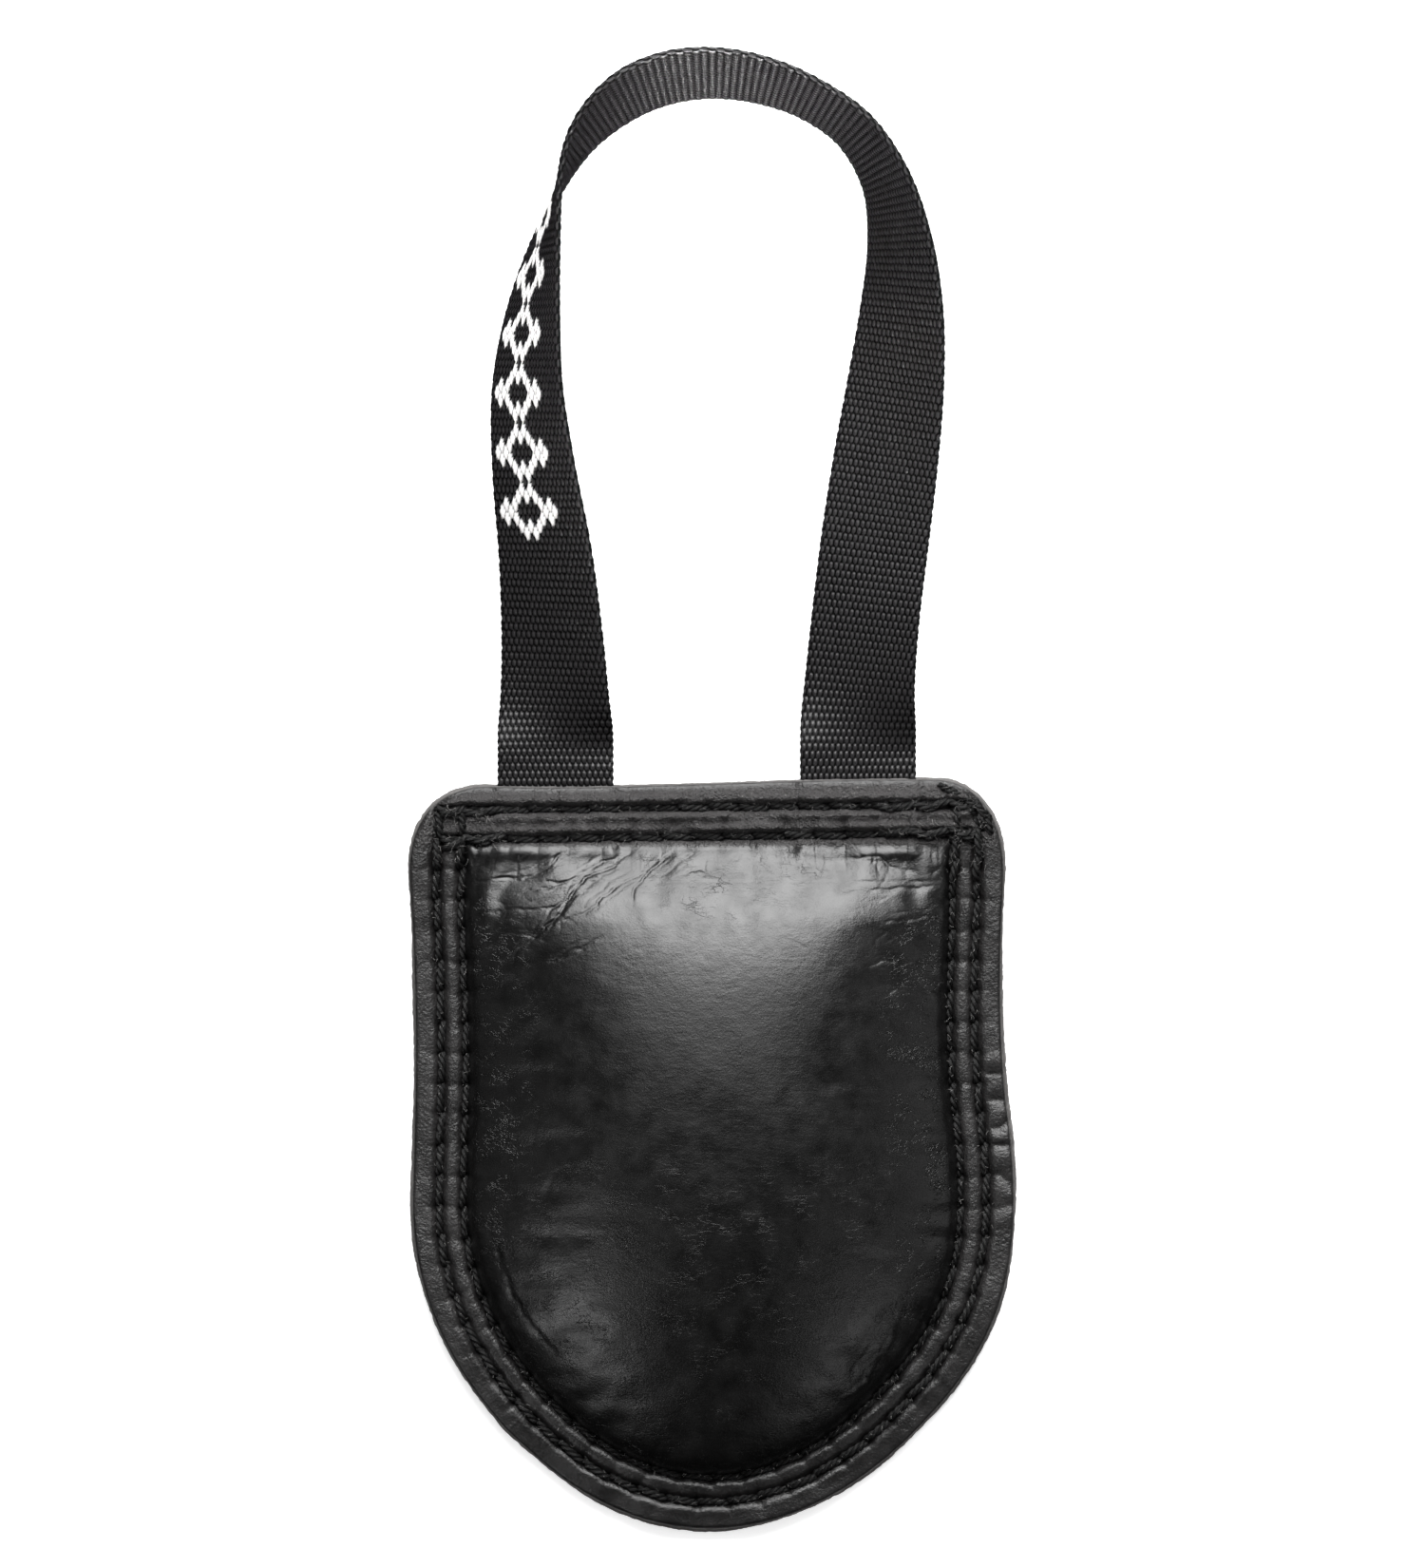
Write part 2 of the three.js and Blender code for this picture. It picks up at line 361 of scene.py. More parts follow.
def leather_over_foam():
    """The front leather over its foam: a sheet laid over the padding's shape, sewn down round the seam,
    given a little slack and pushed out from inside as cloth. Returns a tree to look heights up in."""
    scale = CLOTH_SCALE * MM
    points, faces, on_seam = seam_sheet()
    top = DOME_HEIGHT - FOOT_HEIGHT
    laid = np.column_stack([points, top * padded_height(faces, len(points), on_seam)])
    cloth = mesh_object("leather_cloth", (laid * scale).tolist(), faces.tolist())
    cloth.vertex_groups.new(name="sewn").add(list(range(on_seam)), 1, "REPLACE")
    settings = cloth.modifiers.new("Cloth", "CLOTH").settings
    settings.quality = 6
    settings.mass = 0.4
    settings.tension_stiffness = settings.compression_stiffness = 14
    settings.shear_stiffness = 7
    settings.bending_stiffness = 0.6
    settings.use_pressure = True
    settings.uniform_pressure_force = 1.2
    settings.effector_weights.gravity = 0
    settings.vertex_group_mass = "sewn"
    settings.shrink_min = -0.012
    scene = bpy.context.scene
    for step in range(1, CLOTH_FRAMES + 1):
        scene.frame_set(step)
    shape = cloth.evaluated_get(bpy.context.evaluated_depsgraph_get()).data
    blown = np.array([v.co for v in shape.vertices])[:, 2] / scale
    scene.frame_set(1)
    bpy.data.objects.remove(cloth)
    laid[:, 2] = np.maximum(blown, 0) * top / blown.max()
    return smooth_surface(laid, faces)


def smooth_surface(points, faces):
    surface = mesh_object("dome_surface", points.tolist(), faces.tolist())
    subdivision = surface.modifiers.new("Subdivision", "SUBSURF")
    subdivision.levels = 2
    subdivision.boundary_smooth = "PRESERVE_CORNERS"
    shape = surface.evaluated_get(bpy.context.evaluated_depsgraph_get()).to_mesh()
    vertices = [v.co.copy() for v in shape.vertices]
    tree = BVHTree.FromPolygons(vertices, [tuple(p.vertices) for p in shape.polygons])
    bpy.data.objects.remove(surface)
    return tree


LAID_LEATHER = leather_over_foam()


def dome_height(xy):
    """The front leather's height above its flange, before folds: the laid sheet on its steep foot."""
    distance, _, side = nearest(xy, SEAM, closed=True)
    inside = (side > 0) & (distance > 0)
    foot = FOOT_HEIGHT * (1 - 0.85 * smoothstep(40, 52, xy[:, 1])) * (1 - np.exp(-distance / 1.6))
    height = np.where(inside, foot, 0)
    for k in np.flatnonzero(inside):
        hit = LAID_LEATHER.ray_cast(Vector((xy[k, 0], xy[k, 1], 60)), Vector((0, 0, -1)))[0]
        height[k] += 0 if hit is None else max(0, hit.z)
    return height


# ---- Folds in the front leather ----

# Creases: how deep each is, and the points that it runs through. A negative depth is a ridge.
CREASES = [
    (0.6, [(-10.5, 55), (-16.2, 51), (-22.3, 47.3), (-26.7, 41.5), (-36.2, 32.5)]),
    (0.5, [(-3.6, 55), (-9, 50.5), (-12.3, 46.7), (-13.3, 43.5)]),
    (0.45, [(-9.3, 50.2), (-15.2, 47.3), (-21.7, 42.3), (-26.2, 39.8)]),
    (0.5, [(-18.8, 55), (-25.3, 52.7), (-29.7, 49.3), (-40.5, 47.5)]),
    (0.35, [(-28.2, 48.3), (-25.3, 47.5), (-21, 48.3), (-17, 47.4)]),
    (0.4, [(-12, 54.4), (-18, 51), (-26.7, 47), (-35.5, 45.3)]),
    (0.35, [(-20.5, 47.3), (-24.2, 44.5), (-30, 43.1), (-41.2, 42)]),
    (0.3, [(-28, 37.3), (-31, 38.4), (-36.8, 39.2)]),
    (0.3, [(-17.7, 39), (-21.7, 36.5), (-26.7, 34.3), (-32, 32.5)]),
    (0.3, [(-1, 55), (-4.3, 51.7), (-8.5, 48.6)]),
    (0.3, [(1.5, 48.3), (-1.5, 49.6), (-5.5, 48.7)]),
    (0.35, [(41.3, 47), (34.8, 46.7), (28, 46.5), (23.4, 45.6)]),
    (0.35, [(25, 51.6), (29.7, 52.2), (32.2, 50.3), (36.5, 49.6)]),
    (0.3, [(41, 41.9), (35.3, 41.4), (30.6, 41)]),
    (0.3, [(39.3, 34.7), (34.5, 33.4), (30.8, 33.8), (26.8, 33.2)]),
    (0.25, [(38.5, 28), (33, 28.8), (29, 27.6)]),
    (-0.45, [(34.2, -26.5), (31.2, -33.5), (27.2, -39.6), (21.8, -44.8)]),
    (0.35, [(31.2, -27.5), (28.4, -33.5), (24.6, -38.5)]),
    (0.4, [(-38.6, -11), (-36, -20), (-32, -28), (-26, -35.5)]),
]


def small_creases():
    """Short fine creases: crinkled leather down both sides of the dome, a few in its middle, and a fringe
    that hangs from the inner top row."""
    random = np.random.default_rng(21)
    lines = []

    def add(x, y, heading, length, depth):
        turn = heading + np.cumsum(random.normal(0, 0.3, 4))
        steps = np.stack([np.cos(turn), np.sin(turn)], axis=1) * length / 4
        lines.append((depth, np.array([x, y]) + np.concatenate([[[0, 0]], np.cumsum(steps, axis=0)])))

    for _ in range(60):
        heading = random.choice([0.15, -0.3, 0.8, 2.6]) + random.normal(0, 0.3)
        add(random.uniform(-42, -27), random.uniform(-14, 44), heading, random.uniform(3, 8), 0.11)
    for _ in range(50):
        heading = random.choice([0.1, 0.9, 3.0]) + random.normal(0, 0.3)
        add(random.uniform(27, 42), random.uniform(-20, 50), heading, random.uniform(3, 9), 0.11)
    for _ in range(34):
        x, y, heading = random.uniform(-22, 28), random.uniform(4, 50), random.uniform(0, np.pi)
        add(x, y, heading, random.uniform(2, 5), 0.04)
    left, right = np.array(TOP_ROWS["inner"])
    for share in np.linspace(0.08, 0.94, 2 * stitch_count(ROWS["top_inner"])):
        x, y = left + (right - left) * share
        slant = -0.7 if share < 0.5 else -0.1
        heading = -np.pi / 2 + slant + random.normal(0, 0.45)
        add(x + random.normal(0, 0.8), y - 1.6, heading, random.uniform(2.5, 7), 0.16)
    return lines


def crease_heights(xy):
    """A crease is a ragged sharp line in a wider soft valley, with a ridge beside it."""
    height = np.zeros(len(xy))
    large = [(depth, 1.0, points, shift) for depth, points in CREASES for shift in (0, 0.8, -1.3)]
    small = [(depth, 0.7, points, 0) for depth, points in small_creases()]
    for k, (depth, width, points, shift) in enumerate(large + small):
        line = resample(catmull(points, 8), 0.3)
        if shift:
            depth *= 0.4
            line = line[len(line) // 6 : -len(line) // 5] + shift * np.array([0.62, -0.78])
        ragged = np.stack([noise(line, 2.4, 5 + k), noise(line, 2.4, 6 + k)], axis=1) * 0.4
        ragged += np.stack([noise(line, 0.8, 7 + k), noise(line, 0.8, 8 + k)], axis=1) * 0.16
        distance, along, side = nearest(xy, line + ragged, reach=6 * width)
        length = lengths(line)[-1]
        fade = np.sin(np.pi * np.clip(along / length, 0.01, 0.99)) ** 0.5
        fade *= 0.75 + 0.35 * noise_at(along, 0 * along + 9 * k, 1.7, 9)
        height -= depth * fade * (0.62 * bell(distance, 0.2 * width) + 0.14 * bell(distance, 1.2 * width))
        height += 0.14 * depth * fade * bell(side * distance - 0.8 * width, 0.6 * width)
    return height


# ---- Sewn leather ----


def stitch_marks(xy, depth, puff):
    """How the rows of stitches pull the leather: a groove under the thread, a pit at each hole, and the
    leather swelling up on either side between the holes, most of all along the top rows. Below the inner top
    row the swelling runs on into the dome."""
    height = np.zeros(len(xy))
    swell = np.zeros(len(xy))
    for k, (name, row) in enumerate(ROWS.items()):
        distance, along, side = nearest(xy, row, reach=7)
        pitch = lengths(row)[-1] / stitch_count(row)
        top = name.startswith("top")
        phase = along / pitch + (0.0 if top else 0.1) * noise(xy, 2.2, 35 + k)
        to_hole = np.abs(phase - np.round(phase)) * pitch
        between = np.abs(np.sin(np.pi * phase)) ** (1.9 if top else 1.2)
        amount = puff * (1.3 if top else 0.13)
        amount = amount * (1 + 0.6 * noise_at(np.floor(phase) * 1.7 + 40 * k, side, 1, 31 + k))
        width = 0.8 if top else 1.0
        height -= depth * (0.75 + 0.2 * (1 - between)) * bell(distance, width)
        height -= 0.4 * depth * bell(to_hole, 0.8) * bell(distance, 0.8)
        pull = 0.22 * np.clip(0.8 + noise_at(np.round(phase) * 1.3, 0 * phase + 9 * k, 1, 37), 0, 2)
        height -= pull * depth * bell(to_hole, 0.5) * np.exp(-distance / 1.7) * (distance > 0.2)
        roll = (0.65 if top else 0.4) * bell(distance - 1.6, 0.85)
        ridge = np.maximum(between * bell(distance - 1.45, 0.75), roll)
        if name == "top_inner":
            (left_x, left_y), (right_x, right_y) = TOP_ROWS["inner"]
            below = xy[:, 1] < np.interp(xy[:, 0], [left_x, right_x], [left_y, right_y])
            shoulder = smoothstep(0.3, 1.5, distance) * (0.55 + 0.45 * between) * np.exp(-distance / 4)
            ridge = np.where(below, 0.6 * shoulder, ridge)
        swell = np.maximum(swell, amount * ridge)
    return height + swell


def strap_bulge(xy):
    """The leather rising over the ends of the webbing."""
    half = WEBBING_WIDTH / 2
    over = sum(smoothstep(half + 1.6, half - 0.6, np.abs(xy[:, 0] - x)) for x in STRAP_X)
    return 0.75 * over * smoothstep(STRAP_END_Y - 1.5, STRAP_END_Y + 1.5, xy[:, 1])


def edge_ripples(xy, inset):
    """The flange's free edge: a gentle wave all round, and tight puckers half way down its right side."""
    near_edge = smoothstep(7, 0, inset)
    wave = 0.4 * noise(xy, 9, 41) * near_edge
    where = smoothstep(-16, -4, xy[:, 1]) * smoothstep(24, 14, xy[:, 1]) * (xy[:, 0] > 0)
    bent = xy[:, 1] + 2.2 * noise(xy, 5, 43)
    pucker = np.abs(np.sin(np.pi * bent / 5.2)) ** 0.7 - 0.55
    uneven = 0.75 + 0.6 * noise_at(xy[:, 1], 0 * xy[:, 1], 4, 47)
    return wave + 0.85 * pucker * uneven * where * smoothstep(6.5, 1, inset)


def foot_droop(xy, inset):
    """The flange round the foot sinking towards the table."""
    return 1.1 * smoothstep(10, 0, inset) * smoothstep(-22, -55, xy[:, 1])


def front_base(xy, inset):
    """The front flange's upper face, before stitches and dome."""
    level = FLANGE_TOP + strap_bulge(xy) + edge_ripples(xy, inset)
    uneven = 0.1 * noise(xy, 5, 44) * (0.12 + 0.88 * smoothstep(16, 9, inset))
    return level - foot_droop(xy, inset) + uneven


def back_base(xy, inset):
    """The back panel's lower face, before stitches."""
    dish = BACK_FLANGE_BOTTOM * smoothstep(17, 10, inset)
    return dish - 0.35 * strap_bulge(xy) + 0.7 * edge_ripples(xy, inset) - 0.8 * foot_droop(xy, inset)


def rolled_edge(inset, radius):
    """How far a cut edge rounds away from the face."""
    into = np.clip(1 - inset / radius, 0, 1)
    return radius * (1 - np.sqrt(1 - into**2)) * 0.8


def fine_points(outline, flange, upper, lower):
    """Points inside the outline, with a spacing each for the sewn flange and the upper and lower dome."""
    insets = (0.18, 0.4, 0.7, 1.05)
    loops = [resample(outline * (1 - d / HALF_SIZE), OUTLINE_STEP, closed=True) for d in insets]
    zones = []
    for spacing, low_inset, high_inset, low_y, high_y in (
        (flange, 1.3, FLANGE_WIDTH, -90, 90),
        (upper, FLANGE_WIDTH + upper, 90, 28, 90),
        (lower, FLANGE_WIDTH + lower, 90, -90, 28 - lower),
    ):
        grid = hexagonal_grid(spacing)
        inset, _, side = nearest(grid, outline, closed=True)
        keep = (side > 0) & (inset > low_inset) & (inset <= high_inset)
        zones.append(grid[keep & (grid[:, 1] > low_y) & (grid[:, 1] <= high_y)])
    return np.concatenate(loops + zones)


def hidden_side(outline):
    """Points for a panel's hidden face: those inside it, then all of them, and how far in they are."""
    inner = inner_points(outline, HIDDEN_STEP)
    points = np.concatenate([outline, inner])
    return inner, points, inset_in(outline, points)


def panel(name, outline, points, faces, face_z, hidden_z, hidden_inner, attributes):
    """A closed panel: its detailed face, its plain hidden face, and the raw cut edge that joins them."""
    count = len(outline)
    upward = face_z[:count].mean() > hidden_z[:count].mean()
    _, hidden_faces = triangulate(outline, hidden_inner)
    verts = [np.column_stack([points, face_z])]
    raw = [np.zeros(len(points))]
    wall_steps = 4
    first_wall = len(points)
    for k in range(1, wall_steps):
        share = k / wall_steps
        rough = 0.14 * noise_at(np.arange(count) * OUTLINE_STEP, np.full(count, 50.0 * k), 0.9, 51)
        outward = outline * (1 + (0.1 + rough)[:, None] / HALF_SIZE)
        verts.append(np.column_stack([outward, face_z[:count] * (1 - share) + hidden_z[:count] * share]))
        raw.append(np.ones(count))
    first_hidden = first_wall + (wall_steps - 1) * count
    verts.append(np.column_stack([np.concatenate([outline, hidden_inner]), hidden_z]))
    raw.append(np.concatenate([np.ones(count), np.zeros(len(hidden_inner))]))
    starts = [0, *(first_wall + k * count for k in range(wall_steps - 1)), first_hidden]
    walls = [wall(a, b, count) for a, b in zip(starts, starts[1:])]
    flip = slice(None, None, 1 if upward else -1)
    all_faces = [f[flip] for f in faces.tolist()]
    all_faces += [f[flip][::-1] for f in (hidden_faces + first_hidden).tolist()]
    all_faces += [f[flip] for w in walls for f in w.tolist()]
    total = sum(len(v) for v in verts)
    channels = {"raw": np.concatenate(raw)}
    for key, values in attributes.items():
        channels[key] = np.concatenate([values, np.zeros(total - len(values))])
    channels["raw"][:count] = 0.5
    return make_piece(name, np.concatenate(verts), all_faces, channels)


def hollow_height(xy):
    """How far the front leather's inner face rises: less than its outer face, most of all near the seam."""
    return dome_height(xy) * (0.55 + 0.38 * smoothstep(0, 9, inset_in(SEAM, xy)))


def front_leather():
    points, faces = triangulate(OUTLINE, fine_points(OUTLINE, 0.4, 0.27, 0.5))
    inset = inset_in(OUTLINE, points)
    from_seam, _, side = nearest(points, SEAM, closed=True)
    inside = np.where(side > 0, from_seam, 0)
    y = points[:, 1]
    folds = crease_heights(points) * smoothstep(0.6, 2.5, inside)
    swell = 0.1 * noise(points, 17, 61) + 0.01 * rough_noise(points, 6, 62)
    # The crumpled top band: rough relief here, and in the material a paler tone with painted glints.
    crumple = smoothstep(53.2, 55.2, y) * smoothstep(0.4, 1.5, inset)
    flange = 1 - smoothstep(-1.0, 0.5, np.where(side > 0, from_seam, -from_seam))
    # Painted shade: the flange mask fades towards the foot, so the flange there is painted darker, and is
    # also smoother and less crushed, where less light reaches it.
    flange *= 1 - 0.4 * smoothstep(-18, -45, y)
    z = front_base(points, inset) + dome_height(points)
    z += stitch_marks(points, 1.35, 0.85) * smoothstep(0.2, 1.6, inset)
    z += folds + swell * smoothstep(1, 9, inside)
    z += crumple * (0.3 * rough_noise(points, 1.6, 63, 2) + 0.16 * noise(points, 0.8, 65))
    z += 0.05 * flange * rough_noise(points, 1.3, 67, 2)
    z += (0.016 + 0.014 * flange) * rough_noise(points, 1.1, 64, 2)
    z -= rolled_edge(inset, 0.75)
    sides = smoothstep(16, 3, inside) * smoothstep(0.1, 1, inside) * (1 - 0.65 * smoothstep(40, 50, y))
    sides *= 0.15 + 0.85 * smoothstep(-42, -8, y)
    faint = 0.06 + 0.14 * smoothstep(8, -12, y)
    crackle = np.clip(faint + sides * (0.6 + 0.6 * noise(points, 9, 66)), 0, 1) * (inside > 0)
    hidden_inner, hidden, hidden_inset = hidden_side(OUTLINE)
    under = front_base(hidden, hidden_inset) - LEATHER + hollow_height(hidden)
    patches = {"crumple": crumple, "flange": flange, "crackle": crackle}
    return panel("front_leather", OUTLINE, points, faces, z, under, hidden_inner, patches)


def back_leather():
    outline = OUTLINE * (1 + (0.3 + 0.25 * noise(OUTLINE, 14, 71))[:, None] / HALF_SIZE)
    points, faces = triangulate(outline, fine_points(outline, 0.6, 1.2, 1.2))
    inset = inset_in(outline, points)
    z = back_base(points, inset) - stitch_marks(points, 0.9, 0.35) * smoothstep(0.2, 1.6, inset)
    z += rolled_edge(inset, 0.5)
    z = np.maximum(z, 0)
    hidden_inner, hidden, hidden_inset = hidden_side(outline)
    over = back_base(hidden, hidden_inset) + LEATHER - 0.1
    patches = {"crumple": 0 * z, "flange": 0 * z, "crackle": 0 * z + 0.15}
    return panel("back_leather", outline, points, faces, z, over, hidden_inner, patches)


def foam_core():
    """The padding between the panels, a little smaller than the hollow that holds it."""
    loop = resample(SEAM, 1.6, closed=True) * (1 - 2.6 / HALF_SIZE)
    inner = inner_points(loop, SHEET_STEP)
    points, faces = triangulate(loop, inner)
    inset = inset_in(OUTLINE, points)
    top = FRONT_BOTTOM - 0.5 + 0.93 * hollow_height(points)
    bottom = np.maximum(back_base(points, inset) + LEATHER + 0.3, LEATHER + 0.2)
    bottom = np.minimum(bottom, top - 0.4)
    total = len(points)
    all_faces = faces.tolist() + (faces + total)[:, ::-1].tolist() + wall(0, total, len(loop)).tolist()
    verts = np.concatenate([np.column_stack([points, top]), np.column_stack([points, bottom])])
    return make_piece("foam_core", verts, all_faces)


# ---- Thread ----

PLY_SIDES = 7
PLY_STEPS = 18
PLY_TURNS = 1.45  # in one stitch


class Strands:
    """Collects thin tubes, such as a stitch's three plies, to be made into one piece."""

    def __init__(self):
        self.points, self.faces, self.uvs, self.count = [], [], [], 0

    def tube(self, centre, radius, sides, frame_x, frame_y):
        """A closed tube round a centre line."""
        n = len(centre)
        turn = np.arange(sides) * 2 * np.pi / sides
        cos, sin = np.cos(turn)[None, :, None], np.sin(turn)[None, :, None]
        rim = frame_x[:, None] * cos + frame_y[:, None] * sin
        skin = centre[:, None] + rim * np.broadcast_to(radius, n)[:, None, None]
        i, j = np.meshgrid(np.arange(n - 1), np.arange(sides), indexing="ij")
        j2 = (j + 1) % sides
        base = self.count
        here, on = i * sides, (i + 1) * sides
        quads = np.stack([here + j, here + j2, on + j2, on + j], axis=-1)
        self.faces += (quads.reshape(-1, 4) + base).tolist()
        self.faces.append([base + k for k in range(sides)][::-1])
        self.faces.append([base + (n - 1) * sides + k for k in range(sides)])
        along = np.repeat(lengths(centre), sides)
        around = np.tile(np.arange(sides) / sides, n)
        self.uvs.append(np.stack([around, along], axis=1))
        self.points.append(skin.reshape(-1, 3))
        self.count += n * sides

    def twisted(self, centre, radius, turns, start_turn=0.0):
        """Three plies laid round each other along the centre line, thinner where it goes down a hole."""
        tangent = unit(np.gradient(centre, axis=0))
        level = unit(np.cross(tangent, [0, 0, 1.0]) + 1e-6 * np.array([1.0, 0.3, 0]))
        upright = np.cross(level, tangent)
        share = np.linspace(0, 1, len(centre))
        thickness = 0.72 + 0.28 * np.sin(np.pi * share) ** 0.5
        for ply in range(3):
            turn = start_turn + 2 * np.pi * (ply / 3 + turns * share)
            off = level * np.cos(turn)[:, None] + upright * np.sin(turn)[:, None]
            line = centre + off * (0.52 * radius * thickness)[:, None]
            self.tube(line, 0.55 * radius * thickness, PLY_SIDES, level, upright)

    def piece(self, name):
        return make_piece(name, np.concatenate(self.points), self.faces, uvs=np.concatenate(self.uvs))


def stitch_line(start, end, height, up, depth, slant=0.0, bow=0.0):
    """The centre line of one stitch from hole to hole, sunk at both ends."""
    t = np.linspace(0, 1, PLY_STEPS)
    along = end - start
    across = np.array([-along[1], along[0]]) / np.linalg.norm(along)
    eased = t - 0.035 * np.sin(2 * np.pi * t)
    aside = slant * (1 - 2 * t) + bow * np.sin(np.pi * t)
    plan = start + along * eased[:, None] + across * aside[:, None]
    lift = -depth + (depth + 0.02) * np.sin(np.pi * t) ** 0.4
    return np.column_stack([plan, height + up * lift])


def sewn_row(name, row, seed, up):
    """One row of stitches on the front (up = 1) or on the back (up = -1)."""
    random = np.random.default_rng(seed)
    count = stitch_count(row)
    along = lengths(row)
    at = np.linspace(0, along[-1], count + 1)
    holes = points_at(row, along, at)
    middle = (holes[1:] + holes[:-1]) / 2
    inset = inset_in(OUTLINE, middle)
    level = front_base(middle, inset) if up > 0 else back_base(middle, inset)
    sunk = -0.62 if up < 0 else 0.5 if "top" in name else 0.65
    strands = Strands()
    for k in range(count):
        slant = 0.24 + random.normal(0, 0.07)
        height = max(level[k] - up * sunk + random.normal(0, 0.05), THREAD_RADIUS)
        depth = 1.0 if up > 0 else 0.5
        line = stitch_line(holes[k], holes[k + 1], height, up, depth, slant, random.normal(0, 0.1))
        radius = THREAD_RADIUS * random.uniform(0.94, 1.05) * (1 if up > 0 else 0.82)
        strands.twisted(line, radius, PLY_TURNS, random.uniform(0, 2 * np.pi))
    return strands.piece(name)


# Stitches sewn over the ends of the rows to lock them: where each starts and ends, and how high it lies.
TACKS = [
    ((-47.6, 60.6), (-43.2, 59.0), 0.7),
    ((-46.9, 59.0), (-42.6, 60.7), 1.0),
    ((-43.6, 60.6), (-38.4, 59.2), 0.7),
    ((-41.0, 59.1), (-35.6, 60.5), 0.6),
    ((-46.9, 55.4), (-42.8, 53.6), 0.7),
    ((-46.6, 53.6), (-42.0, 55.6), 1.0),
    ((-43.2, 55.7), (-38.0, 54.2), 0.8),
    ((-40.6, 54.2), (-35.2, 55.7), 0.6),
    ((-43.4, 60.6), (-43.2, 55.6), 0.6),
    ((-47.4, 60.2), (-46.9, 55.2), 0.3),
    ((-43.0, 55.4), (-43.6, 50.2), 0.5),
    ((-47.6, 55.0), (-47.2, 49.9), 0.5),
    ((47.4, 61.6), (42.6, 60.2), 0.7),
    ((46.8, 60.0), (42.0, 61.9), 1.0),
    ((43.0, 61.9), (37.8, 60.0), 0.8),
    ((39.8, 60.2), (34.4, 61.8), 0.8),
    ((36.6, 61.6), (31.4, 60.4), 0.6),
    ((33.0, 60.2), (28.4, 61.4), 0.5),
    ((46.9, 56.6), (42.4, 55.0), 0.9),
    ((46.4, 55.0), (41.8, 57.2), 1.2),
    ((42.6, 56.9), (37.6, 55.4), 0.9),
    ((39.4, 55.3), (34.0, 57.0), 0.7),
    ((36.2, 56.8), (31.2, 55.6), 0.5),
    ((43.2, 61.6), (43.6, 56.8), 0.6),
    ((47.2, 61.4), (48.0, 56.6), 0.6),
    ((43.0, 56.4), (43.6, 51.2), 0.6),
    ((47.3, 57.0), (47.9, 51.6), 0.9),
    ((47.9, 52.8), (47.1, 47.8), 0.6),
    ((43.5, 52.2), (42.8, 47.4), 0.4),
    ((40.3, 64.6), (43.4, 63.1), 0.6),
    ((42.4, 64.0), (45.4, 61.9), 0.8),
    ((44.6, 63.1), (47.5, 60.6), 0.8),
    ((46.9, 61.9), (49.3, 58.6), 0.6),
    ((48.7, 59.9), (49.6, 55.6), 0.4),
]


def corner_tacks():
    random = np.random.default_rng(77)
    strands = Strands()
    for start, end, lift in TACKS:
        start, end = np.array(start), np.array(end)
        middle = (start + end)[None] / 2
        height = front_base(middle, inset_in(OUTLINE, middle))[0] + lift * 0.75
        line = stitch_line(start, end, height, 1, 1.5, random.normal(0, 0.15), random.normal(0, 0.3))
        strands.twisted(line, THREAD_RADIUS * random.uniform(0.9, 1.02), PLY_TURNS, random.uniform(0, 6))
    return strands.piece("corner_tacks")


def hair(strands, random, start, heading, length, radius, rise):
    """A loose fibre: a thin curved tube."""
    steps = 7
    turn = heading + np.cumsum(random.normal(0, 0.4, steps))
    step = np.stack([np.cos(turn), np.sin(turn), np.full(steps, rise)], axis=1) * length / steps
    line = np.concatenate([[start], start + np.cumsum(step, axis=0)])
    tangent = unit(np.gradient(line, axis=0))
    level = unit(np.cross(tangent, [0.02, 0.01, 1.0]))
    taper = np.linspace(1, 0.3, steps + 1)
    strands.tube(line, radius * taper, 4, level, np.cross(level, tangent))


def thread_fuzz():
    """Fibres standing out of the thread, most of them at the corner tacks."""
    random = np.random.default_rng(88)
    strands = Strands()

    def scatter(x, y, lift, count, shortest, longest, spread):
        for _ in range(count):
            plan = np.array([[x + random.normal(0, spread), y + random.normal(0, spread)]])
            inset, _, side = nearest(plan, OUTLINE, closed=True)
            if side[0] < 0 or inset[0] < 0.8:
                continue
            start = np.array([*plan[0], front_base(plan, inset)[0] + lift])
            heading, length = random.uniform(0, 2 * np.pi), random.uniform(shortest, longest)
            hair(strands, random, start, heading, length, 0.024, random.uniform(0.05, 0.4))

    for start, end, lift in TACKS:
        middle = (np.array(start) + np.array(end)) / 2
        scatter(middle[0], middle[1], 0.5 + 0.7 * lift, 6, 0.5, 1.6, 0.9)
    for row in ROWS.values():
        for x, y in row[:: int(STITCH / ROW_STEP / 2)]:
            scatter(x, y, 0.3, 2, 0.3, 1.0, 0.5)
    return strands.piece("thread_fuzz")


# ---- Webbing ----

